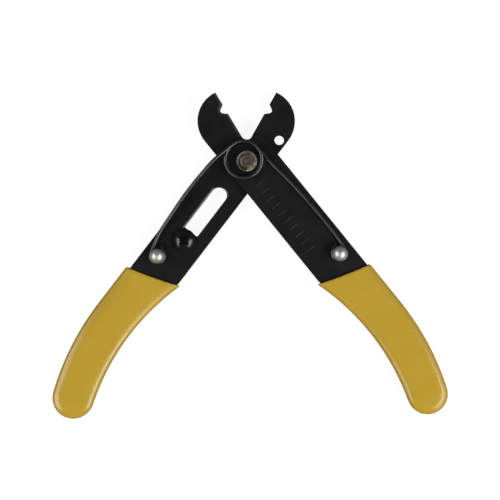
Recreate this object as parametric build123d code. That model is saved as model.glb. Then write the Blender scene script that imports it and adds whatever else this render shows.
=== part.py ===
from build123d import *
import math
import os

# Wire stripper and cutter with two crossed flat levers, a wire return spring,
# an adjustable stop and dipped grips. Everything is in millimetres. The tool
# lies on its back, held open by its spring. X runs across the handles, Y towards
# the jaws and Z out of the front face. The origin is on the pivot's axis, in the
# plane that the tool rests on.
#
# Both levers have one outline, drawn in a lever frame. There "reach" runs from
# the pivot along the shank to the handle's end, so the jaw has negative reach,
# and "offset" runs outward, away from the other handle. The front lever is
# turned into place, and the rear lever is its mirror image.

# How the tool lies
half_opening = 38.25  # degrees from each shank to the tool's centre line

# Levers, stamped from flat steel
lever_thickness = 2.5
lever_gap = 0.05  # running gap between the two levers
inner_offset = 6.6  # inner edge of the shank, and outer edge of the jaw
outer_offset = 9.35  # outer edge of the shank
edge_break = 0.25  # rolled edge that the stamping leaves

# Jaw
nose_reach = 14.05  # centre of the rounded nose
nose_radius = 10.4
edge_offset = 2.75  # where the cutting edge's line passes the pivot
edge_slope = 8.2  # degrees between the cutting edge and the lever
shoulder_reach = 5.1  # shoulder where the jaw opening ends
shoulder_radius = 4.0
root_radius = 2.0
bevel_width = 0.8  # ground bevel, seen on the lever's face
bevel_land = 1.7  # thickness that the bevel leaves at the cutting edge

# Stripping notch in the cutting edge
notch_reach = 18.25
notch_depth = 2.45  # from the edge to the sharp bottom, before rounding
notch_tip_flank = 62.0  # degrees from the lever, flank on the tip's side
notch_root_flank = 44.0
notch_radius = 1.0

# Hole for bending wire, in the rear lever's jaw
loop_hole_diameter = 3.2
loop_hole_reach = 12.2
loop_hole_offset = 4.15

# Handle, bent inward in its own plane and round at its end
bend_reach = 67.5  # where the outer edge starts to bend
outer_bend_radius = 87.85
inner_bend_reach = 69.2
inner_bend_radius = 79.5
inner_bend_offset = 3.2  # nearest that the bent inner edge comes to the pivot line
inner_bend_blend = 6.0  # radius that eases the shank's inner edge into the bend
handle_sweep = 19.15  # degrees of bend to the handle's end

# Grips, dipped in vinyl
grip_wall = 0.95  # at the handle's edges
rear_grip_extra = 0.4  # how much more the rear grip has on its outer edge
grip_face_wall = 1.1  # on the handle's faces
grip_round = 2.0
grip_inner_start = 3.45  # how far past the posts the dip starts, on the inner edge
grip_outer_start = 8.55  # how far past the posts the dip starts, on the outer edge
grip_fit = 0.02  # between the vinyl and the steel

# Pivot rivet
rivet_diameter = 5.0
rivet_fit = 0.04  # radial clearance in both levers
rivet_back_diameter = 9.0
rivet_back_height = 1.2
rivet_face_diameter = 7.0
rivet_face_height = 1.5
rivet_face_gap = 0.05  # running gap under the formed head
rivet_rim_width = 0.7
rivet_dish_depth = 0.35
rivet_boss_diameter = 3.4
rivet_boss_height = 0.25
rivet_dimple_diameter = 1.1

# Return spring, one wire coiled round the pivot
wire_diameter = 1.2
coil_radius = 6.03  # to the middle of the wire
coil_gap = 0.15  # between one turn and the next
coil_clearance = 0.3  # between the coil and the front lever
coil_shift = 1.1  # the loose coil hangs towards the left
coil_rise = 0.45
left_leave_angle = 14.1  # degrees that the left arm leaves the coil short of the shank's direction
right_leave_angle = 3.75
hook_fit = 0.2  # between the hook and the post's neck
hook_clearance = 0.15  # above and below the hook

# Each arm's corners between the coil and the hook: the share of the way from
# the pivot to the post, and how far outward of the post
left_arm = [(0.154, 4.4), (0.467, 5.15), (0.864, 4.15)]
right_arm = [(0.093, 1.1), (0.374, 2.45), (0.678, 3.0), (0.888, 2.88)]

# Each hook's free end: how far short of the post, and how far outward of it
left_hook_end = (3.8, 1.3)
right_hook_end = (3.5, 1.2)

# Ball-headed posts that the spring's hooks hold
post_reach = 42.8
post_offset = 4.5
post_neck_diameter = 3.1
post_overhang = 0.85  # how far the ball stands out past the neck
post_ball_flat = 1.33  # cut off the ball's underside
post_tenon_diameter = 2.5
post_fit = 0.02  # radial clearance of the tenon in the lever

# Slot in the rear lever, and the graduations on the front one
slot_width = 5.3
slot_offset = 0.6
slot_near_reach = 11.85  # end of the slot nearer the pivot
slot_rim_width = 0.45
slot_rim_depth = 0.22
mark_count = 10
mark_first_reach = 8.6
mark_pitch = 3.02
mark_offset = 1.65  # towards the inner edge
mark_length = 3.2
mark_width = 0.6
mark_depth = 0.15

# Adjustable stop: a round-headed screw in a nut that slides in the slot
stop_to_post = 9.4  # how far short of the post the stop's outermost place is
screw_diameter = 4.0
screw_fit = 0.05  # radial clearance in the nut
screw_head_diameter = 7.8
screw_head_side = 0.5
screw_dome_height = 1.93
screw_end_clearance = 0.2  # from the screw's end to the resting plane
recess_length = 4.0
recess_width = 0.95
recess_depth = 1.5
recess_core_diameter = 1.9
nut_slide_fit = 0.1  # between the nut's neck and each side of the slot
nut_neck_extra = 1.7  # how much longer than wide the neck is, so that it can't turn
nut_lip = 1.4  # how far the nut's flange stands out past its neck, across the slot
nut_end_lip = 0.2  # the same along the slot, so that the flange hides under the screw's head
nut_corner = 1.0
nut_neck_gap = 0.2  # the neck stops this short of the screw's head

# Heights, from the resting plane up
rear_lever_base = rivet_back_height
rear_lever_top = rear_lever_base + lever_thickness
front_lever_base = rear_lever_top + lever_gap
front_lever_top = front_lever_base + lever_thickness
overshoot = 5.0  # how far a cutting shape runs past what it cuts

wire_radius = wire_diameter / 2
coil_pitch = wire_diameter + coil_gap
hook_radius = post_neck_diameter / 2 + hook_fit + wire_radius
post_neck_height = wire_diameter + 2 * hook_clearance
nut_neck_width = slot_width - 2 * nut_slide_fit
nut_neck_length = nut_neck_width + nut_neck_extra
inner_bend_centre = (inner_bend_reach, -inner_bend_offset - inner_bend_radius)
outer_bend_centre = (bend_reach, outer_offset - outer_bend_radius)
stop_reach = post_reach - stop_to_post
slot_far_reach = stop_reach + nut_neck_length / 2 + nut_slide_fit


def place_front(shape, height):
    """Takes a shape from the lever frame to the front lever's place."""
    return Pos(0, 0, height) * Rot(0, 0, half_opening - 90) * shape


def place_rear(shape, height):
    """Takes a shape from the lever frame to the rear lever's place."""
    return mirror(place_front(shape, height), about=Plane.YZ)


def edge_at(reach):
    """Offset of the cutting edge at a reach."""
    return edge_offset - reach * math.tan(math.radians(edge_slope))


def box_sketch(reach_from, reach_to, offset_from, offset_to):
    """Rectangle given by its limits along the lever and across it."""
    middle = ((reach_from + reach_to) / 2, (offset_from + offset_to) / 2)
    return Pos(*middle) * Rectangle(reach_to - reach_from, offset_to - offset_from)


def on_circle(centre, radius, angle):
    """Point of a circle, with the angle in degrees from the reach axis."""
    turn = math.radians(angle)
    return (centre[0] + radius * math.cos(turn), centre[1] + radius * math.sin(turn))


def shank_outline(wall=0.0, inner_line=inner_offset, outer_extra=0.0):
    """Straight shank and bent handle with its round end, grown by a wall."""
    outer_wall = wall + outer_extra
    outer_radius = outer_bend_radius + outer_wall
    inner_radius = inner_bend_radius - wall
    inner_end = 90 - handle_sweep
    toward_end = Vector(*on_circle((0, 0), 1, inner_end))
    apart = Vector(*inner_bend_centre) - Vector(*outer_bend_centre)
    lean = apart.dot(toward_end)
    end_radius = outer_radius**2 - inner_radius**2 - apart.length**2 - 2 * inner_radius * lean
    end_radius /= 2 * (lean + inner_radius + outer_radius)
    end_centre = on_circle(inner_bend_centre, inner_radius + end_radius, inner_end)
    across = Vector(*end_centre) - Vector(*outer_bend_centre)
    outer_end = math.degrees(math.atan2(across.Y, across.X))
    inner_drop = -inner_line - inner_bend_centre[1]
    inner_start = 180 - math.degrees(math.asin(inner_drop / inner_radius))
    corners = {
        "outer bend": (bend_reach, outer_offset + outer_wall),
        "outer end": on_circle(outer_bend_centre, outer_radius, outer_end),
        "inner end": on_circle(inner_bend_centre, inner_radius, inner_end),
        "inner bend": on_circle(inner_bend_centre, inner_radius, inner_start),
    }
    outer_middle = on_circle(outer_bend_centre, outer_radius, (90 + outer_end) / 2)
    end_middle = on_circle(end_centre, end_radius, (outer_end + inner_end) / 2 - 90)
    inner_middle = on_circle(inner_bend_centre, inner_radius, (inner_end + inner_start) / 2)
    outline = [
        Line((0, outer_offset + outer_wall), corners["outer bend"]),
        ThreePointArc(corners["outer bend"], outer_middle, corners["outer end"]),
        ThreePointArc(corners["outer end"], end_middle, corners["inner end"]),
        ThreePointArc(corners["inner end"], inner_middle, corners["inner bend"]),
        Line(corners["inner bend"], (0, -inner_line)),
        Line((0, -inner_line), (0, outer_offset + outer_wall)),
    ]
    face = make_face(Curve() + outline)
    start_of_bend = face.vertices().sort_by_distance(corners["inner bend"])[0]
    return fillet(start_of_bend, inner_bend_blend)


def jaw_opening(shoulder):
    """Space that the jaw opens onto: outside the cutting edge, with the notch."""
    tip_reach = -nose_reach - nose_radius - overshoot
    opening = Polygon(
        (tip_reach, edge_at(tip_reach)),
        (-shoulder, edge_at(-shoulder)),
        (-shoulder, outer_offset + nose_radius),
        (tip_reach, outer_offset + nose_radius),
        align=None,
    )
    root = opening.vertices().sort_by_distance((-shoulder, edge_at(-shoulder)))[0]
    opening = fillet(root, root_radius)
    apex_offset = edge_at(-notch_reach) - notch_depth
    rise = notch_depth + overshoot
    notch = Polygon(
        (-notch_reach, apex_offset),
        (-notch_reach + rise / math.tan(math.radians(notch_root_flank)), apex_offset + rise),
        (-notch_reach - rise / math.tan(math.radians(notch_tip_flank)), apex_offset + rise),
        align=None,
    )
    opening += notch
    apex = opening.vertices().sort_by_distance((-notch_reach, apex_offset))[0]
    return fillet(apex, notch_radius)


def jaw_outline():
    """Nose and cutting edge with its notch, up to the pivot."""
    nose_end = -nose_reach - nose_radius
    blank = box_sketch(-nose_reach, 0, -inner_offset, outer_offset)
    nose = Pos(-nose_reach, nose_radius - inner_offset) * Circle(nose_radius)
    nose &= box_sketch(nose_end, -nose_reach, -inner_offset, outer_offset)
    outline = blank + nose - jaw_opening(shoulder_reach)
    shoulder = outline.vertices().sort_by_distance((-shoulder_reach, outer_offset))[0]
    room = outer_offset - edge_at(-shoulder_reach) - root_radius
    return fillet(shoulder, min(shoulder_radius, 0.9 * room))


def on_cutting_edge(edge):
    """Whether an edge of a lever's face belongs to the cutting edge or its notch."""
    middle = edge.center()
    return middle.X < -shoulder_reach - root_radius and middle.Y > 0


def lever_blank():
    """Stamped lever with a bevel ground in its front face, and the holes that both levers have."""
    blank = extrude(shank_outline() + jaw_outline(), lever_thickness)
    faces = [blank.faces().sort_by(Axis.Z)[0], blank.faces().sort_by(Axis.Z)[-1]]
    rolled = [e for face in faces for e in face.edges() if not on_cutting_edge(e)]
    blank = chamfer(rolled, edge_break)
    bevel_depth = lever_thickness - bevel_land
    bevel_angle = math.degrees(math.atan(bevel_width / bevel_depth))
    ground = extrude(jaw_opening(shoulder_reach + bevel_width), bevel_depth, taper=-bevel_angle)
    blank -= Pos(0, 0, bevel_land) * ground
    drill_height = lever_thickness + 2 * overshoot
    blank -= Cylinder(rivet_diameter / 2 + rivet_fit, drill_height)
    blank -= Pos(post_reach, post_offset) * Cylinder(post_tenon_diameter / 2 + post_fit, drill_height)
    return blank


def make_front_lever():
    """Lever with the graduations beside which the stop is set."""
    lever = lever_blank()
    wedge = Polygon((0, -mark_depth), (mark_width, mark_depth), (-mark_width, mark_depth), align=None)
    stamp = extrude(Plane.XZ * wedge, mark_length / 2, both=True)
    for mark in range(mark_count):
        reach = mark_first_reach + mark * mark_pitch
        lever -= Pos(reach, -mark_offset, lever_thickness) * stamp
    return place_front(lever, front_lever_base)


def make_rear_lever():
    """Lever with the stop's slot and the hole for bending wire."""
    lever = mirror(lever_blank(), about=Plane.XY.offset(lever_thickness / 2))
    slot_length = slot_far_reach - slot_near_reach
    slot_middle = (slot_far_reach + slot_near_reach) / 2
    slot = Pos(slot_middle, slot_offset) * SlotOverall(slot_length, slot_width)
    rim_angle = math.degrees(math.atan(slot_rim_width / slot_rim_depth))
    lever -= extrude(slot, lever_thickness)
    rim = extrude(slot, slot_rim_depth, taper=-rim_angle)
    lever -= Pos(0, 0, lever_thickness - slot_rim_depth) * rim
    loop_hole = Cylinder(loop_hole_diameter / 2, lever_thickness + 2 * overshoot)
    lever -= Pos(-loop_hole_reach, -loop_hole_offset) * loop_hole
    return place_rear(lever, rear_lever_base)


def make_grip(outer_extra):
    """Dipped grip round the handle, in the lever frame, with the lever's base at height 0."""
    outside = shank_outline(grip_wall, inner_offset + 2 * grip_wall, outer_extra)
    slant = (grip_outer_start - grip_inner_start) / (outer_offset + inner_offset)
    far = outer_offset + inner_offset
    bare = Polygon(
        (-far, -inner_offset - far),
        (post_reach + grip_inner_start - far * slant, -inner_offset - far),
        (post_reach + grip_outer_start + far * slant, outer_offset + far),
        (-far, outer_offset + far),
        align=None,
    )
    height = lever_thickness + 2 * grip_face_wall
    skin = extrude(outside - bare, height)
    faces = [skin.faces().sort_by(Axis.Z)[0], skin.faces().sort_by(Axis.Z)[-1]]
    sides = [e for face in faces for e in face.edges().sort_by(Axis.X)[1:]]
    skin = fillet(sides, min(grip_round, 0.45 * height))
    handle = extrude(shank_outline(grip_fit, inner_offset + grip_fit), lever_thickness + 2 * grip_fit)
    return Pos(0, 0, -grip_face_wall) * (skin - Pos(0, 0, grip_face_wall - grip_fit) * handle)


def make_rivet():
    """Pivot rivet with a flat back head and a dished, formed front head."""
    back = rivet_back_diameter / 2
    shank = rivet_diameter / 2
    face = rivet_face_diameter / 2
    dish = face - rivet_rim_width
    boss = rivet_boss_diameter / 2
    dimple = rivet_dimple_diameter / 2
    head_base = front_lever_top + rivet_face_gap
    head_top = head_base + rivet_face_height
    dish_floor = head_top - rivet_dish_depth
    section = Polygon(
        (0, 0),
        (back - edge_break, 0),
        (back, edge_break),
        (back, rivet_back_height),
        (shank, rivet_back_height),
        (shank, head_base),
        (face, head_base),
        (face, head_top - edge_break),
        (face - edge_break, head_top),
        (dish + rivet_dish_depth / 2, head_top),
        (dish, dish_floor),
        (boss + rivet_boss_height, dish_floor),
        (boss, dish_floor + rivet_boss_height),
        (dimple, dish_floor + rivet_boss_height),
        (0, dish_floor + rivet_boss_height - dimple / 2),
        align=None,
    )
    return revolve(Plane.XZ * section, Axis.Z)


def make_post():
    """Ball-headed post with its tenon, standing on a lever's front face at height 0."""
    neck_radius = post_neck_diameter / 2
    ball_radius = neck_radius + post_overhang
    ball_centre = post_neck_height + ball_radius - post_ball_flat
    below = (Align.CENTER, Align.CENTER, Align.MAX)
    above = (Align.CENTER, Align.CENTER, Align.MIN)
    ball = Pos(0, 0, ball_centre) * Sphere(ball_radius)
    ball -= Pos(0, 0, post_neck_height) * Cylinder(2 * ball_radius, 2 * ball_radius, align=below)
    neck = Cylinder(neck_radius, ball_centre, align=above)
    tenon = Cylinder(post_tenon_diameter / 2, lever_thickness, align=below)
    return Pos(post_reach, post_offset) * (ball + neck + tenon)


def tangent_radii(points):
    """Largest bend radius that each inner corner's two runs allow."""
    radii = []
    for before, corner, after in zip(points, points[1:], points[2:]):
        run = min((corner - before).length, (after - corner).length)
        turn = math.radians((corner - before).get_angle(after - corner))
        radii.append(0.45 * run / math.tan(turn / 2))
    return radii


def spring_arm(start, climb, corners, hook_end, to_tool, hook_height):
    """Path of one arm and its hook, from the coil's tangent point outward."""
    post = Vector(post_reach, post_offset)
    corners = [(share * post_reach, post_offset + outward) for share, outward in corners]
    hook_end = (post_reach - hook_end[0], post_offset + hook_end[1])
    back = Vector(*corners[-1]) - post
    outer_turn = math.acos(hook_radius / back.length)
    outer_angle = math.atan2(back.Y, back.X) - outer_turn
    free = Vector(*hook_end) - post
    inner_angle = math.atan2(free.Y, free.X) + math.acos(hook_radius / free.length) - 2 * math.pi
    middle_angle = (outer_angle + inner_angle) / 2

    def on_hook(angle):
        place = post + Vector(math.cos(angle), math.sin(angle)) * hook_radius
        return to_tool(place.X, place.Y, hook_height)

    route = [start]
    first = to_tool(*corners[0], 0)
    first_run = math.hypot(first.X - start.X, first.Y - start.Y)
    route.append(Vector(first.X, first.Y, start.Z + first_run * climb))
    heights = len(corners) - 1
    for step, corner in enumerate(corners[1:], 1):
        share = step / heights
        height = route[1].Z + (hook_height - route[1].Z) * share
        route.append(to_tool(*corner, height))
    route.append(on_hook(outer_angle))
    arm = FilletPolyline(*route, radius=tangent_radii(route))
    bow = ThreePointArc(on_hook(outer_angle), on_hook(middle_angle), on_hook(inner_angle))
    tail = Line(on_hook(inner_angle), to_tool(*hook_end, hook_height))
    return arm.edges() + bow.edges() + tail.edges()


def to_front(reach, across, height):
    """A point of the front lever's frame, in the tool's frame."""
    turn = math.radians(half_opening - 90)
    return Vector(
        reach * math.cos(turn) - across * math.sin(turn),
        reach * math.sin(turn) + across * math.cos(turn),
        height,
    )


def to_rear(reach, across, height):
    """A point of the rear lever's frame, in the tool's frame."""
    front = to_front(reach, across, height)
    return Vector(-front.X, front.Y, front.Z)


def make_spring():
    """Torsion spring: a hook, an arm, a coil and a bit, an arm and a hook."""
    left_angle = 180 - half_opening - left_leave_angle
    right_angle = half_opening + right_leave_angle
    turned = 360 + left_angle - right_angle
    drop = coil_pitch * turned / 360
    low = front_lever_top + coil_clearance + wire_radius
    climb = coil_pitch / (2 * math.pi * coil_radius)

    def on_coil(angle, height):
        return Vector(
            -coil_shift + coil_radius * math.cos(math.radians(angle)),
            coil_rise + coil_radius * math.sin(math.radians(angle)),
            height,
        )

    left_start = on_coil(left_angle, low + drop)
    right_start = on_coil(right_angle, low)
    hook_lift = hook_clearance + wire_radius
    left = spring_arm(left_start, climb, left_arm, left_hook_end, to_rear, rear_lever_top + hook_lift)
    right = spring_arm(right_start, -climb, right_arm, right_hook_end, to_front, front_lever_top + hook_lift)
    coil = Pos(-coil_shift, coil_rise, low) * Rot(0, 0, right_angle) * Helix(coil_pitch, drop, coil_radius)
    path = Wire(left + coil.edges() + right)
    section = Plane(origin=path @ 0, z_dir=path % 0) * Circle(wire_radius)
    return sweep(section, path)


def make_stop_nut():
    """Nut with a long neck that slides in the slot and can't turn."""
    flange = RectangleRounded(nut_neck_length + 2 * nut_end_lip, nut_neck_width + 2 * nut_lip, nut_corner)
    neck_height = rear_lever_top - nut_neck_gap
    neck = extrude(SlotOverall(nut_neck_length, nut_neck_width), neck_height)
    nut = extrude(flange, rear_lever_base) + neck
    nut -= Cylinder(screw_diameter / 2 + screw_fit, 2 * neck_height + overshoot)
    return place_rear(Pos(stop_reach, slot_offset) * nut, 0)


def make_stop_screw():
    """Round-headed screw with a cross recess, its head seated on the rear lever."""
    head = screw_head_diameter / 2
    shank = screw_diameter / 2
    side_top = rear_lever_top + screw_head_side
    top = side_top + screw_dome_height
    dome_radius = (head**2 + screw_dome_height**2) / (2 * screw_dome_height)
    half = math.asin(head / dome_radius) / 2
    on_dome = (dome_radius * math.sin(half), top - dome_radius * (1 - math.cos(half)))
    outline = [
        Line((0, screw_end_clearance), (shank - edge_break, screw_end_clearance)),
        Line((shank - edge_break, screw_end_clearance), (shank, screw_end_clearance + edge_break)),
        Line((shank, screw_end_clearance + edge_break), (shank, rear_lever_top)),
        Line((shank, rear_lever_top), (head, rear_lever_top)),
        Line((head, rear_lever_top), (head, side_top)),
        ThreePointArc((head, side_top), on_dome, (0, top)),
        Line((0, top), (0, screw_end_clearance)),
    ]
    screw = revolve(Plane.XZ * make_face(Curve() + outline), Axis.Z)
    wing = Pos(0, 0, top) * Box(recess_length, recess_width, 2 * recess_depth)
    for turn in (45, 135):
        screw -= Rot(0, 0, turn) * wing
    core_base = (Align.CENTER, Align.CENTER, Align.MIN)
    core = Cone(recess_width / 2, recess_core_diameter / 2, recess_depth, align=core_base)
    screw -= Pos(0, 0, top - recess_depth) * core
    return Pos(to_rear(stop_reach, slot_offset, 0)) * screw


parts = {
    "front_lever": make_front_lever(),
    "rear_lever": make_rear_lever(),
    "front_grip": place_front(make_grip(0), front_lever_base),
    "rear_grip": place_rear(make_grip(rear_grip_extra), rear_lever_base),
    "pivot_rivet": make_rivet(),
    "return_spring": make_spring(),
    "front_spring_post": place_front(make_post(), front_lever_top),
    "rear_spring_post": place_rear(make_post(), rear_lever_top),
    "stop_nut": make_stop_nut(),
    "stop_screw": make_stop_screw(),
}

os.makedirs("parts", exist_ok=True)
for name, shape in parts.items():
    export_step(shape, f"parts/{name}.step")
    print(name, round(shape.volume, 2))
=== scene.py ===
import bmesh
import bpy
import math
from mathutils import Matrix, Vector, kdtree, noise
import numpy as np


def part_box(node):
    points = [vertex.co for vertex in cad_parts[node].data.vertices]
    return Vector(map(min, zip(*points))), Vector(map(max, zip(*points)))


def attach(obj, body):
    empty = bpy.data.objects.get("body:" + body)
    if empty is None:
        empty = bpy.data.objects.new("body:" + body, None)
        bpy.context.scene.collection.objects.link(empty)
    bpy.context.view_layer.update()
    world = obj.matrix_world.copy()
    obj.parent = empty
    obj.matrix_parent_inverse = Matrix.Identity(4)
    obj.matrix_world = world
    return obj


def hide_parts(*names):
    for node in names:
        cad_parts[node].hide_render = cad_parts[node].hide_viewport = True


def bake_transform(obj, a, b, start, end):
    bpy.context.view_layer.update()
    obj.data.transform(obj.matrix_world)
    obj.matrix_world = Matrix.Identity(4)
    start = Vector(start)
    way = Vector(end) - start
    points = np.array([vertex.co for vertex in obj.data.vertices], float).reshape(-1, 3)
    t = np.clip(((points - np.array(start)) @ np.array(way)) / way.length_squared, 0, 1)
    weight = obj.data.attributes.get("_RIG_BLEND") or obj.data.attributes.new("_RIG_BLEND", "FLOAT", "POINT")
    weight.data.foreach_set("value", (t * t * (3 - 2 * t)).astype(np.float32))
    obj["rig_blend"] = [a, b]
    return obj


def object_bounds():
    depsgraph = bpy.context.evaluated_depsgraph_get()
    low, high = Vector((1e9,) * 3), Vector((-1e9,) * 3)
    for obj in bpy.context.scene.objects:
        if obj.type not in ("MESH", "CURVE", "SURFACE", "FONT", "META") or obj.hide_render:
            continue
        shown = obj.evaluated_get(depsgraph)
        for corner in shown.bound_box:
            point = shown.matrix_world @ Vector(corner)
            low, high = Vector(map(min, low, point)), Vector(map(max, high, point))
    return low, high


# Wire stripper: two black stamped levers, yellow dipped grips, a plated pivot
# rivet, a wire spring on two ball-headed posts, and a round-headed stop screw.
# Lengths are written in millimetres and turned into metres by mm(). A side is
# 1 for the front lever and what it carries, and -1 for the rear lever.

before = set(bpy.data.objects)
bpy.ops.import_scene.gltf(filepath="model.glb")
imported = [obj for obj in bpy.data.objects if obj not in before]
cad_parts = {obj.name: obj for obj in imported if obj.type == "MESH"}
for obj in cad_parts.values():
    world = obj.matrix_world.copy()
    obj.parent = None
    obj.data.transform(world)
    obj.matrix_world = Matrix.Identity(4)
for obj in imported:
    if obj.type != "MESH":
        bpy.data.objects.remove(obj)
cad_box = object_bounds()


def mm(*lengths):
    """Millimetres as metres: one number, or a point."""
    metres = [length * 0.001 for length in lengths]
    return metres[0] if len(metres) == 1 else Vector(metres)


# Where the photograph was taken from
lens_height = mm(450)  # from the lens to the levers
lens_length = 97.9
sensor_width = 36
photo_centre = mm(0.62, -29.26, 4.0)  # what the middle of the picture shows
photo_turn = math.radians(-0.79)

# How the tool lies
half_opening = math.radians(38.25)  # from each shank to the tool's centre line
lever_turn = half_opening - math.pi / 2  # from +X to the front lever's shank

# Patterns in the finishes
pattern_low = 0.3  # nearly all of a noise pattern lies between these two values
pattern_high = 0.7

# Edges of the stamped and turned pieces
weld_distance = mm(0.0005)
flat_angle = math.radians(0.5)
edge_angle = math.radians(24)
edge_round = mm(0.06)
rub_width = mm(0.5)
slant_low = 0.15  # a face slants when its normal's height lies between these two
slant_high = 0.985
bevel_low = 0.6  # and is one of the jaws' ground bevels between these two
bevel_high = 0.8
jaw_start = mm(8)  # how far above the pivot the cutting edges begin

# Where the front lever's graduations lie, in its own frame
marks_from = mm(8)
marks_to = mm(36.5)
marks_inner = mm(-3.6)
marks_outer = mm(0.3)

# Grips
grip_voxel = mm(0.26)
grip_smoothing = 30  # rounds before the faces are crowned
grip_settling = 12  # rounds after that
grip_wave = mm(0.07)
grip_wave_length = mm(13)
grip_wave_shift = 0.5  # the noise's value at which the skin stays as it is
grip_tip_fall = mm(0.35)
grip_tip_length = mm(9)
flank_share = 0.3  # of half the thickness: a flank is measured this near to the middle
crown_width = mm(2.8)  # how far in from its edge each face falls away
crown_fall = mm(0.42)
mouth_clear = mm(1.5)  # edges nearer to the mouth than this do not fall away
mouth_sag = mm(0.28)
mouth_reach = mm(6)  # how far from the mouth its edge is drawn along
mouth_middle = mm(48.8)  # how far from the pivot the dip starts, in the shank's middle
mouth_slope = 0.32
shank_middle = mm(1.38)  # from the line through the pivot to the shank's middle
shank_half = mm(8.9)  # half the width of the dipped shank

# Round shapes
rivet_steps = 64
post_steps = 48
ball_steps = 14

# Formed head of the pivot rivet. Rims and levels are measured inwards and down from its edge.
struck_depth = mm(0.5)  # the part of the head that the punch changed
punch_rim = mm(1.0)  # within this rim the face was shifted
punch_shift = mm(-0.35, 0.1, 0)  # how far off centre the middle of the punch landed
groove_rim = mm(1.5)  # outside this rim the groove is deeper on one side
groove_level = mm(0.14)  # how far down the groove begins
groove_side = math.radians(215)  # where the groove is deepest
groove_fill = 0.7  # share of its depth that it lacks on the other side
stake_side = Vector((0.707, -0.707))  # towards the flat that was staked into the rim
stake_start = mm(1.9)  # how far off centre that flat begins
stake_level = mm(0.1)
stake_slope = 0.17
stake_edge = mm(0.3)  # the width over which the flat takes hold
dent_depth = mm(0.05)
dent_size = mm(0.9)
bare_highlight_size = mm(0.7)  # bare metal and painted highlight: bright patches on the staked flat
bare_highlight_level = 0.35  # how bright they are on the whole
bare_highlight_swing = 0.8  # and how much that varies
recess_shade_level = mm(0.1)  # painted shade: below this the plating is painted darker, as shade in the recesses
recess_shade_fade = mm(0.3)

# Return spring, and where it bends between the two levers
wire_diameter = mm(1.2)
coil_radius = mm(6.03)
coil_gap = mm(0.15)
coil_centre = mm(-1.1, 0.45, 0)
coil_low = mm(7.15)  # middle of the wire, where the right arm leaves
left_leave_angle = math.radians(14.1)
right_leave_angle = math.radians(3.75)
post_reach = mm(42.8)
post_offset = mm(4.5)
hook_radius = mm(2.35)
rear_hook_height = mm(4.45)
front_hook_height = mm(7.0)
# Corners of each arm: share of the way to the post, and how far outside the post
left_arm = [(0.154, mm(4.4)), (0.467, mm(5.15)), (0.864, mm(4.15))]
right_arm = [(0.093, mm(1.1)), (0.374, mm(2.45)), (0.678, mm(3.0)), (0.888, mm(2.88))]
# Free end of each hook: how far short of the post, and how far outside it
left_hook_end = (mm(3.8), mm(1.3))
right_hook_end = (mm(3.5), mm(1.2))
corner_share = 0.45
corner_steps = 10
hook_steps = 28
coil_steps = 120
spring_left = mm(-6.5, 0, 0)
spring_right = mm(6.5, 0, 0)

# Light
softbox_distance = 1.0
softbox_slant = math.radians(50)  # from straight above
softbox_level = 7.15  # brightness of its cloth
horizon_level = 0.16
horizon_end = 0.12  # the walls end where a line of sight rises by this share of its length
ceiling_level = 0.09
ceiling_start = 0.6  # and the ceiling is reached where it rises by this share
floor_size = 12.0
floor_grey = 0.16
floor_lift = 0.92  # what the floor gives of its own, in the picture only
floor_drop = mm(0.02)


def linear(red, green, blue):
    """A colour as the eye names it, out of 255, in the shader's own numbers."""
    shares = [value / 255 for value in (red, green, blue)]
    values = [s / 12.92 if s <= 0.04045 else ((s + 0.055) / 1.055) ** 2.4 for s in shares]
    return (*values, 1.0)


def new_material(name):
    """An empty principled material, its node tree and its shader."""
    material = bpy.data.materials.new(name)
    material.use_nodes = True
    tree = material.node_tree
    return material, tree, tree.nodes["Principled BSDF"]


def noise_at(tree, scale, detail, stretch=(1.0, 1.0, 1.0)):
    """A noise pattern that stays with the piece. Scale is in patches per metre."""
    place = tree.nodes.new("ShaderNodeTexCoord")
    mapping = tree.nodes.new("ShaderNodeMapping")
    mapping.inputs["Scale"].default_value = stretch
    pattern = tree.nodes.new("ShaderNodeTexNoise")
    pattern.inputs["Scale"].default_value = scale
    pattern.inputs["Detail"].default_value = detail
    tree.links.new(place.outputs["Object"], mapping.inputs["Vector"])
    tree.links.new(mapping.outputs["Vector"], pattern.inputs["Vector"])
    return pattern.outputs["Fac"]


def marked(tree, name):
    """A value that the shape itself carries, by its name."""
    stored = tree.nodes.new("ShaderNodeAttribute")
    stored.attribute_name = name
    return stored.outputs["Fac"]


def ramp(tree, source, stops):
    """Turns a pattern's value into a colour, by stops of (value, colour). A new ramp has two stops."""
    colours = tree.nodes.new("ShaderNodeValToRGB")
    elements = colours.color_ramp.elements
    for index, (value, colour) in enumerate(stops):
        element = elements[index] if index < 2 else elements.new(value)
        element.position = value
        element.color = colour
    tree.links.new(source, colours.inputs["Fac"])
    return colours.outputs["Color"]


def spread(tree, source, low, high):
    """Turns a pattern's value into a number between low and high."""
    limits = tree.nodes.new("ShaderNodeMapRange")
    limits.inputs["From Min"].default_value = pattern_low
    limits.inputs["From Max"].default_value = pattern_high
    limits.inputs["To Min"].default_value = low
    limits.inputs["To Max"].default_value = high
    tree.links.new(source, limits.inputs["Value"])
    return limits.outputs["Result"]


def tinted(tree, share, base, colour):
    """A base colour that gives way to another one, by a share from 0 to 1."""
    mix = tree.nodes.new("ShaderNodeMix")
    mix.data_type = "RGBA"
    tree.links.new(share, mix.inputs["Factor"])
    tree.links.new(base, mix.inputs["A"])
    mix.inputs["B"].default_value = colour
    return mix.outputs["Result"]


def shifted(tree, share, change, base):
    """A base number with a share of a change added to it."""
    total = tree.nodes.new("ShaderNodeMath")
    total.operation = "MULTIPLY_ADD"
    tree.links.new(share, total.inputs[0])
    total.inputs[1].default_value = change
    tree.links.new(base, total.inputs[2])
    return total.outputs["Value"]


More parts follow.
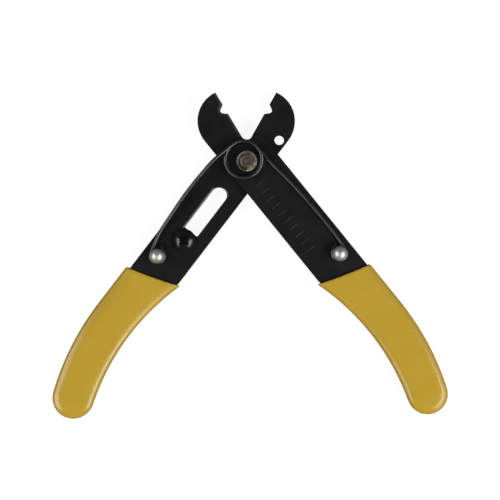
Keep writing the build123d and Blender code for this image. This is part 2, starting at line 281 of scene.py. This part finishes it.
def bumps(tree, shader, patterns):
    """Stacks patterns of (value, height in mm, strength) as relief on a shader."""
    normal = None
    for value, height, strength in patterns:
        relief = tree.nodes.new("ShaderNodeBump")
        relief.inputs["Distance"].default_value = mm(height)
        relief.inputs["Strength"].default_value = strength
        tree.links.new(value, relief.inputs["Height"])
        if normal is not None:
            tree.links.new(normal, relief.inputs["Normal"])
        normal = relief.outputs["Normal"]
    tree.links.new(normal, shader.inputs["Normal"])


def even_finish(name, scale, stops, roughness, reliefs, metallic=0.0):
    """A finish whose colour and roughness follow one pattern, under reliefs of
    (scale, height in mm, strength)."""
    material, tree, shader = new_material(name)
    film = noise_at(tree, scale, 3)
    tree.links.new(ramp(tree, film, stops), shader.inputs["Base Color"])
    tree.links.new(spread(tree, film, *roughness), shader.inputs["Roughness"])
    shader.inputs["Metallic"].default_value = metallic
    bumps(tree, shader, [(noise_at(tree, fine, 2), height, strength) for fine, height, strength in reliefs])
    return material


def black_steel():
    """Black oxide on stamped steel: satin, oiled, rubbed a little on its edges."""
    material, tree, shader = new_material("black_steel")
    mottle = noise_at(tree, 140, 4)
    grain = noise_at(tree, 5200, 2)
    rubbed = noise_at(tree, 900, 5)
    edge = marked(tree, "edge")
    rub = tree.nodes.new("ShaderNodeMath")
    rub.operation = "MULTIPLY"
    tree.links.new(edge, rub.inputs[0])
    tree.links.new(spread(tree, rubbed, 0.0, 0.75), rub.inputs[1])
    oxide = ramp(tree, mottle, [(0.35, (0.0042, 0.0042, 0.0045, 1)), (0.65, (0.0056, 0.0056, 0.0059, 1))])
    worn = tinted(tree, rub.outputs["Value"], oxide, (0.018, 0.018, 0.019, 1))
    ground = tinted(tree, marked(tree, "ground"), worn, (0.048, 0.048, 0.05, 1))
    tree.links.new(ground, shader.inputs["Base Color"])
    grooved = shifted(tree, marked(tree, "groove"), 0.24, spread(tree, mottle, 0.38, 0.46))
    tree.links.new(shifted(tree, edge, -0.12, grooved), shader.inputs["Roughness"])
    shader.inputs["Specular IOR Level"].default_value = 0.38
    bumps(tree, shader, [(grain, 0.004, 0.5), (rubbed, 0.01, 0.25)])
    return material


def yellow_vinyl():
    """Dipped vinyl: semi-gloss, with a faint orange peel and slow flow marks."""
    stops = [(0.32, linear(202, 165, 50)), (0.68, linear(206, 170, 55))]
    peel = (900, 0.02, 0.04)
    fine = (4200, 0.004, 0.03)
    return even_finish("yellow_vinyl", 70, stops, (0.23, 0.29), [peel, fine])


def yellow_zinc():
    """Yellow zinc plate, dull and cloudy where the head was formed, and painted darker in the head's
    recesses as shade.
    """
    material, tree, shader = new_material("yellow_zinc")
    cloud = noise_at(tree, 900, 4)
    scratch = noise_at(tree, 3000, 2, (1.0, 0.3, 1.0))
    stops = [(0.3, linear(86, 79, 66)), (0.52, linear(119, 111, 95)), (0.72, linear(149, 140, 122))]
    # Painted shade: the plating turns dark brown where the head lies lower, in its groove, dish and sides.
    recess_shaded = tinted(tree, marked(tree, "depth"), ramp(tree, cloud, stops), linear(52, 42, 32))
    # Bare metal and painted highlight: the staked flat is painted a bright pale brass.
    staked = tinted(tree, marked(tree, "bare_and_highlight"), recess_shaded, linear(226, 215, 176))
    tree.links.new(staked, shader.inputs["Base Color"])
    tree.links.new(spread(tree, cloud, 0.55, 0.42), shader.inputs["Roughness"])
    shader.inputs["Metallic"].default_value = 0.75
    bumps(tree, shader, [(cloud, 0.03, 0.4), (scratch, 0.006, 0.3)])
    return material


def bright_steel():
    """Tumbled steel of the posts."""
    material, tree, shader = new_material("bright_steel")
    dull = noise_at(tree, 1500, 3)
    tumbled = noise_at(tree, 5200, 3)
    stops = [(0.35, linear(218, 216, 208)), (0.7, linear(230, 228, 221))]
    tree.links.new(ramp(tree, dull, stops), shader.inputs["Base Color"])
    tree.links.new(spread(tree, dull, 0.46, 0.54), shader.inputs["Roughness"])
    shader.inputs["Metallic"].default_value = 1.0
    bumps(tree, shader, [(tumbled, 0.004, 0.4)])
    return material


def spring_wire():
    """Oil-tempered black wire with a smooth, oily skin."""
    stops = [(0.35, (0.09, 0.09, 0.096, 1)), (0.7, (0.115, 0.114, 0.121, 1))]
    return even_finish("spring_wire", 420, stops, (0.38, 0.44), [(1600, 0.002, 0.06)], metallic=1.0)


def black_screw():
    """Black finish of the stop screw, glossier than the levers."""
    stops = [(0.35, (0.0045, 0.0045, 0.0045, 1)), (0.7, (0.0075, 0.0075, 0.0072, 1))]
    return even_finish("black_screw", 800, stops, (0.2, 0.27), [(5600, 0.004, 0.4)])


def finish_piece(shape, name, material, body, node=None):
    """Makes a bmesh an object of the tool, with smooth shading and its finish."""
    mesh = bpy.data.meshes.new(name)
    shape.to_mesh(mesh)
    shape.free()
    mesh.polygons.foreach_set("use_smooth", [True] * len(mesh.polygons))
    mesh.materials.append(material)
    piece = bpy.data.objects.new(name, mesh)
    bpy.context.scene.collection.objects.link(piece)
    if body:
        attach(piece, body)
    if node:
        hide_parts(node)
    return piece


def merged(node):
    """A CAD node's shape, with its loose triangles joined."""
    shape = bmesh.new()
    shape.from_mesh(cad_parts[node].data)
    bmesh.ops.remove_doubles(shape, verts=shape.verts, dist=weld_distance)
    return shape


def in_lever(side, place):
    """Reach and offset of a point in a lever's own frame."""
    reach = side * place.x * math.cos(lever_turn) + place.y * math.sin(lever_turn)
    offset = place.y * math.cos(lever_turn) - side * place.x * math.sin(lever_turn)
    return reach, offset


def lever_point(side, reach, offset, height):
    """A point given in a lever's own frame."""
    x = reach * math.cos(lever_turn) - offset * math.sin(lever_turn)
    y = reach * math.sin(lever_turn) + offset * math.cos(lever_turn)
    return Vector((side * x, y, height))


def mark_edges(shape):
    """Marks the narrow slanting faces, where the finish rubs, and the jaws' ground bevels."""
    edge = shape.faces.layers.float.new("edge")
    ground = shape.faces.layers.float.new("ground")
    for face in shape.faces:
        face.normal_update()
        narrow = min(line.calc_length() for line in face.edges) < rub_width
        slanting = slant_low < abs(face.normal.z) < slant_high
        face[edge] = 1.0 if narrow and slanting else 0.0
        middle = face.calc_center_median()
        inward = middle.y > jaw_start and middle.x * face.normal.x < 0
        face[ground] = 1.0 if inward and bevel_low < abs(face.normal.z) < bevel_high else 0.0


def mark_grooves(shape):
    """Marks the walls of the front lever's graduations, which keep a dull finish."""
    edge = shape.faces.layers.float["edge"]
    groove = shape.faces.layers.float.new("groove")
    for face in shape.faces:
        reach, offset = in_lever(1, face.calc_center_median())
        within = marks_from < reach < marks_to and marks_inner < offset < marks_outer
        if within and slant_low < face.normal.z < slant_high:
            face[groove] = 1.0
            face[edge] = 0.0


def rounded_copy(node, name, material, body):
    """A stamped or turned piece with its sharp edges rounded."""
    shape = merged(node)
    bmesh.ops.dissolve_limit(shape, angle_limit=flat_angle, verts=shape.verts, edges=shape.edges)
    sharp = [
        line for line in shape.edges
        if len(line.link_faces) == 2 and line.calc_face_angle() > edge_angle
    ]
    bmesh.ops.bevel(
        shape, geom=sharp, offset=edge_round, offset_type="OFFSET", affect="EDGES",
        segments=2, profile=0.5, material=-1, clamp_overlap=True,
    )
    mark_edges(shape)
    if node == "front_lever":
        mark_grooves(shape)
    piece = finish_piece(shape, name, material, body, node)
    normals = piece.modifiers.new("even_normals", "WEIGHTED_NORMAL")
    normals.weight = 80


def past_mouth(side, place):
    """How far a point of a grip lies from the mouth's edge, and its offset from the shank's middle."""
    reach, offset = in_lever(side, place)
    off_middle = offset - shank_middle
    return reach - mouth_middle - mouth_slope * off_middle, off_middle


def sag_mouth(skin, side):
    """Lets the middle of the dip's edge hang towards the handle's end."""
    along = Vector((side * math.cos(lever_turn), math.sin(lever_turn), 0))
    for vertex in skin.verts:
        past, off_middle = past_mouth(side, vertex.co)
        if past < mouth_reach:
            across = off_middle / shank_half
            share = max(0.0, 1 - across**2) * (1 - max(0.0, past) / mouth_reach)
            vertex.co += along * mouth_sag * share


def crown_faces(skin, side, middle, half):
    """Lets both faces of a grip fall away towards their edges."""
    flanks = []
    for vertex in skin.verts:
        near_middle = abs(vertex.co.z - middle) < flank_share * half
        if near_middle and past_mouth(side, vertex.co)[0] > mouth_clear:
            flanks.append(vertex.co.copy())
    outline = kdtree.KDTree(len(flanks))
    for index, place in enumerate(flanks):
        place.z = 0
        outline.insert(place, index)
    outline.balance()
    for vertex in skin.verts:
        below = Vector((vertex.co.x, vertex.co.y, 0))
        near = max(0.0, 1 - outline.find(below)[2] / crown_width)
        vertex.co.z -= crown_fall * near**2 * (vertex.co.z - middle) / half


def soften(skin, rounds):
    """Evens out a skin, a little in each round."""
    for _ in range(rounds):
        bmesh.ops.smooth_vert(
            skin, verts=skin.verts, factor=0.5, use_axis_x=True, use_axis_y=True, use_axis_z=True,
        )


def grip(node, name, material, body, side):
    """Dipped grip: the solid's skin, softened all over and left slightly uneven."""
    draft = finish_piece(merged(node), name + "_draft", material, None)
    remesh = draft.modifiers.new("even_skin", "REMESH")
    remesh.mode = "VOXEL"
    remesh.voxel_size = grip_voxel
    depsgraph = bpy.context.evaluated_depsgraph_get()
    skin = bmesh.new()
    skin.from_mesh(bpy.data.meshes.new_from_object(draft.evaluated_get(depsgraph)))
    bpy.data.objects.remove(draft)
    soften(skin, grip_smoothing)
    sag_mouth(skin, side)
    low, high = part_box(node)
    middle = (low.z + high.z) / 2
    half = (high.z - low.z) / 2
    crown_faces(skin, side, middle, half)
    for vertex in skin.verts:
        place = vertex.co
        rise = (place.z - middle) / half
        wave = noise.noise(place / grip_wave_length) - grip_wave_shift
        near_tip = max(0.0, 1 - (place.y - low.y) / grip_tip_length)
        sink = grip_wave * abs(wave) + grip_tip_fall * near_tip**2
        place.z -= sink * rise
    soften(skin, grip_settling)
    finish_piece(skin, name, material, body, node)


def inside(rim, level, *steps):
    """Points of an outline, each given in mm inwards from a rim and down from a level.
    Numbers below zero go outwards and up."""
    return [(rim - mm(inwards), level - mm(down)) for inwards, down in steps]


def spun(profile, centre, steps):
    """A round shape from its outline, given as (radius, height) in metres."""
    shape = bmesh.new()
    corners = [shape.verts.new((centre.x + radius, centre.y, height)) for radius, height in profile]
    edges = [shape.edges.new(pair) for pair in zip(corners, corners[1:])]
    bmesh.ops.spin(
        shape, geom=corners + edges, cent=(centre.x, centre.y, 0), axis=(0, 0, 1), dvec=(0, 0, 0),
        angle=2 * math.pi, steps=steps, use_merge=True, use_duplicate=False,
    )
    bmesh.ops.remove_doubles(shape, verts=shape.verts, dist=weld_distance)
    bmesh.ops.recalc_face_normals(shape, faces=shape.faces)
    return shape


def strike_head(shape, centre, head, top):
    """Gives the rivet's front head its off-centre groove, its staked flat and its dents."""
    # depth carries painted shade: how far a point lies below the head's top.
    depth = shape.verts.layers.float.new("depth")
    # bare carries bare metal and a painted highlight on the staked flat.
    bare_and_highlight = shape.verts.layers.float.new("bare_and_highlight")
    punch = head - punch_rim
    for vertex in shape.verts:
        place = vertex.co
        if place.z > top - struck_depth:
            out = (place - centre).to_2d()
            if out.length < punch:
                place += punch_shift * (1 - out.length / punch)
            out = (place - centre).to_2d()
            if out.length > head - groove_rim:
                shallow = 0.5 - 0.5 * math.cos(math.atan2(out.y, out.x) - groove_side)
                place.z += max(0.0, top - groove_level - place.z) * groove_fill * shallow
            past = out.dot(stake_side) - stake_start
            pressed = min(1.0, max(0.0, past / stake_edge))
            place.z += (top - stake_level - stake_slope * past - place.z) * pressed
            place.z -= dent_depth * abs(noise.noise(place / dent_size))
            # Bare metal and painted highlight on the staked flat, patchy by noise.
            vertex[bare_and_highlight] = pressed * (bare_highlight_level + bare_highlight_swing * noise.noise(place / bare_highlight_size))
            # Painted shade, growing with depth below the top, left off the staked flat.
            vertex[depth] = (1 - pressed) * min(1.0, max(0.0, (top - recess_shade_level - place.z) / recess_shade_fade))


def pivot_rivet(material):
    """Rivet with a flat back head and a front head formed by a ring-shaped punch."""
    low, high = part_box("pivot_rivet")
    centre = (low + high) / 2
    back = (high.x - low.x) / 2
    top = high.z
    head = mm(3.5)  # radii, like back and shank
    shank = mm(2.48)
    head_base = top - mm(1.5)
    back_top = low.z + mm(1.2)
    back_face = inside(back, low.z, (0.5, 0), (0.15, -0.05), (0, -0.3))
    back_edge = inside(back, back_top, (0, 0.2), (0.05, 0.02))
    shank_start = inside(shank, back_top, (-0.1, 0), (0, -0.1))
    shank_end = inside(shank, head_base, (0, 0.1), (-0.1, 0))
    head_side = inside(head, head_base, (0.12, 0), (0, -0.15))
    head_rim = inside(head, top, (0, 0.5), (0.1, 0.14), (0.28, 0), (0.45, 0.05))
    groove = inside(head, top, (0.65, 0.3), (0.9, 0.38), (1.3, 0.34), (1.6, 0.2), (1.8, 0.12), (2.1, 0.2))
    dish = inside(0, top, (-0.95, 0.26), (-0.7, 0.2), (-0.35, 0.12), (0, 0.1))
    back_half = [(0, low.z)] + back_face + back_edge + shank_start
    front_half = shank_end + head_side + head_rim + groove + dish
    shape = spun(back_half + front_half, centre, rivet_steps)
    strike_head(shape, centre, head, top)
    piece = finish_piece(shape, "rivet_plated", material, "rear_half", "pivot_rivet")
    surface = piece.modifiers.new("smooth_surface", "SUBSURF")
    surface.levels = 1
    surface.render_levels = 1


def spring_post(node, name, material, body):
    """Ball-headed post, with its neck in the hook and its tenon in the lever."""
    low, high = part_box(node)
    centre = (low + high) / 2
    ball = (high.x - low.x) / 2
    neck = mm(1.55)
    tenon = mm(1.25)
    chamfer = mm(0.1)
    seat = low.z + mm(2.5)
    under = seat + mm(1.5)
    ball_height = high.z - ball
    start = math.asin((under - ball_height) / ball)
    arc = [start + (math.pi / 2 - start) * step / ball_steps for step in range(ball_steps)]
    profile = [(0, low.z), (tenon - chamfer, low.z), (tenon, low.z + chamfer), (tenon, seat), (neck, seat)]
    profile += [(neck, under - chamfer), (neck + chamfer, under)]
    profile += [(ball * math.cos(angle), ball_height + ball * math.sin(angle)) for angle in arc]
    profile += [(0, high.z)]
    finish_piece(spun(profile, centre, post_steps), name, material, body, node)


def eased(corners):
    """A line through corners, with each corner rounded off."""
    line = [corners[0]]
    for before, corner, after in zip(corners, corners[1:], corners[2:]):
        run = corner_share * min((corner - before).length, (after - corner).length)
        enter = corner + (before - corner).normalized() * run
        leave = corner + (after - corner).normalized() * run
        for step in range(corner_steps + 1):
            share = step / corner_steps
            line.append(enter.lerp(corner, share).lerp(corner.lerp(leave, share), share))
    return line + [corners[-1]]


def spring_arm(side, start, climb, corners, hook_end, hook_height):
    """Middle line of one arm, from the coil to its hook's free end."""
    post = lever_point(side, post_reach, post_offset, hook_height)
    bends = [lever_point(side, share * post_reach, post_offset + outside, 0) for share, outside in corners]
    first_height = start.z + climb * (bends[0] - start).to_2d().length
    for step, bend in enumerate(bends):
        bend.z = first_height + (hook_height - first_height) * step / (len(bends) - 1)
    free = lever_point(side, post_reach - hook_end[0], post_offset + hook_end[1], hook_height)
    back = (bends[-1] - post).to_2d()
    ahead = (free - post).to_2d()
    on_turn = math.atan2(back.y, back.x) - side * math.acos(hook_radius / back.length)
    off_turn = math.atan2(ahead.y, ahead.x) + side * math.acos(hook_radius / ahead.length)
    sweep = (on_turn - off_turn) * side % (2 * math.pi)
    bow = []
    for step in range(hook_steps + 1):
        angle = on_turn - side * sweep * step / hook_steps
        bow.append(post + Vector((math.cos(angle), math.sin(angle), 0)) * hook_radius)
    return eased([start] + bends + [bow[0]]) + bow[1:] + [free]


def spring_line():
    """Middle line of the whole wire: hook, arm, coil and a bit, arm, hook."""
    first = half_opening + right_leave_angle
    last = 3 * math.pi - half_opening - left_leave_angle
    pitch = wire_diameter + coil_gap
    climb = pitch / (2 * math.pi * coil_radius)
    coil = []
    for step in range(coil_steps + 1):
        angle = first + (last - first) * step / coil_steps
        height = coil_low + climb * coil_radius * (angle - first)
        out = Vector((math.cos(angle), math.sin(angle), 0)) * coil_radius
        coil.append(coil_centre + out + Vector((0, 0, height)))
    left = spring_arm(-1, coil[-1], climb, left_arm, left_hook_end, rear_hook_height)
    right = spring_arm(1, coil[0], -climb, right_arm, right_hook_end, front_hook_height)
    return right[::-1] + coil[1:-1] + left


def return_spring(material):
    """One wire from hook to hook, turning with both levers."""
    wire = bpy.data.curves.new("wire", "CURVE")
    wire.dimensions = "3D"
    wire.bevel_depth = wire_diameter / 2
    wire.bevel_resolution = 6
    wire.use_fill_caps = True
    line = spring_line()
    spline = wire.splines.new("POLY")
    spline.points.add(len(line) - 1)
    for point, place in zip(spline.points, line):
        point.co = (*place, 1)
    draft = bpy.data.objects.new("wire", wire)
    bpy.context.scene.collection.objects.link(draft)
    shape = bmesh.new()
    shape.from_mesh(bpy.data.meshes.new_from_object(draft))
    bpy.data.objects.remove(draft)
    bmesh.ops.remove_doubles(shape, verts=shape.verts, dist=weld_distance)
    bmesh.ops.recalc_face_normals(shape, faces=shape.faces)
    piece = finish_piece(shape, "spring_black", material, None)
    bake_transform(piece, "rear_half", "front_half", start=spring_left, end=spring_right)
    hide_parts("return_spring")


def softbox(name, width, length, azimuth):
    """A cloth-fronted lamp that looks at the tool from its slant. Azimuth is from +X."""
    light = bpy.data.lights.new(name, "AREA")
    light.shape = "RECTANGLE"
    light.size = length
    light.size_y = width
    light.energy = softbox_level * math.pi * width * length
    lamp = bpy.data.objects.new(name, light)
    bpy.context.scene.collection.objects.link(lamp)
    out = Vector((
        math.sin(softbox_slant) * math.cos(azimuth),
        math.sin(softbox_slant) * math.sin(azimuth),
        math.cos(softbox_slant),
    ))
    lamp.location = photo_centre + out * softbox_distance
    across = Vector((-math.sin(azimuth), math.cos(azimuth), 0))
    rise = out.cross(across)
    lamp.rotation_mode = "QUATERNION"
    lamp.rotation_quaternion = Matrix((across, rise, out)).transposed().to_quaternion()


def pale_floor():
    """White table that stays white in the picture and keeps the tool's shadow."""
    shape = bmesh.new()
    bmesh.ops.create_grid(shape, x_segments=1, y_segments=1, size=floor_size / 2)
    bmesh.ops.translate(shape, verts=shape.verts, vec=(0, 0, cad_box[0].z - floor_drop))
    mesh = bpy.data.meshes.new("table")
    shape.to_mesh(mesh)
    shape.free()
    table = bpy.data.objects.new("table", mesh)
    bpy.context.scene.collection.objects.link(table)
    material, tree, shader = new_material("table_white")
    shader.inputs["Base Color"].default_value = (floor_grey, floor_grey, floor_grey, 1)
    shader.inputs["Roughness"].default_value = 0.9
    shader.inputs["Specular IOR Level"].default_value = 0.0
    path = tree.nodes.new("ShaderNodeLightPath")
    lift = tree.nodes.new("ShaderNodeMath")
    lift.operation = "MULTIPLY"
    tree.links.new(path.outputs["Is Camera Ray"], lift.inputs[0])
    lift.inputs[1].default_value = floor_lift
    glow = tree.nodes.new("ShaderNodeEmission")
    tree.links.new(lift.outputs["Value"], glow.inputs["Strength"])
    both = tree.nodes.new("ShaderNodeAddShader")
    tree.links.new(shader.outputs["BSDF"], both.inputs[0])
    tree.links.new(glow.outputs["Emission"], both.inputs[1])
    tree.links.new(both.outputs["Shader"], tree.nodes["Material Output"].inputs["Surface"])
    mesh.materials.append(material)


def studio_world():
    """Pale walls at the horizon and a dim ceiling above, white where the picture shows them."""
    world = bpy.data.worlds.new("studio")
    bpy.context.scene.world = world
    world.use_nodes = True
    tree = world.node_tree
    place = tree.nodes.new("ShaderNodeTexCoord")
    parts = tree.nodes.new("ShaderNodeSeparateXYZ")
    tree.links.new(place.outputs["Generated"], parts.inputs["Vector"])
    level = tree.nodes.new("ShaderNodeMapRange")
    level.interpolation_type = "SMOOTHSTEP"
    level.inputs["From Min"].default_value = horizon_end
    level.inputs["From Max"].default_value = ceiling_start
    level.inputs["To Min"].default_value = horizon_level
    level.inputs["To Max"].default_value = ceiling_level
    tree.links.new(parts.outputs["Z"], level.inputs["Value"])
    path = tree.nodes.new("ShaderNodeLightPath")
    seen = tree.nodes.new("ShaderNodeMix")
    tree.links.new(path.outputs["Is Camera Ray"], seen.inputs["Factor"])
    tree.links.new(level.outputs["Result"], seen.inputs["A"])
    seen.inputs["B"].default_value = 1.0
    background = tree.nodes["Background"]
    tree.links.new(seen.outputs["Result"], background.inputs["Strength"])
    background.inputs["Color"].default_value = (1, 1, 1, 1)


def photo_camera():
    """Camera straight above the tool, as the photograph was taken."""
    lens = bpy.data.cameras.new("camera")
    lens.lens = lens_length
    lens.sensor_width = sensor_width
    camera = bpy.data.objects.new("camera", lens)
    bpy.context.scene.collection.objects.link(camera)
    camera.location = photo_centre + Vector((0, 0, lens_height))
    camera.rotation_euler = (0, 0, photo_turn)
    bpy.context.scene.camera = camera


photo_camera()
studio_world()
pale_floor()
softbox("right_softbox", width=0.36, length=0.95, azimuth=math.radians(-24))
softbox("left_softbox", width=0.25, length=0.94, azimuth=math.radians(190))

steel = black_steel()
vinyl = yellow_vinyl()
bright = bright_steel()
screw = black_screw()

rounded_copy("rear_lever", "rear_lever_black", steel, "rear_half")
rounded_copy("front_lever", "front_lever_black", steel, "front_half")
rounded_copy("stop_nut", "stop_nut_black", steel, "stop_slider")
rounded_copy("stop_screw", "stop_screw_black", screw, "stop_screw_body")
grip("rear_grip", "rear_grip_vinyl", vinyl, "rear_half", -1)
grip("front_grip", "front_grip_vinyl", vinyl, "front_half", 1)
spring_post("rear_spring_post", "rear_post_bright", bright, "rear_half")
spring_post("front_spring_post", "front_post_bright", bright, "front_half")
pivot_rivet(yellow_zinc())
return_spring(spring_wire())

bpy.context.scene.view_settings.view_transform = "Standard"
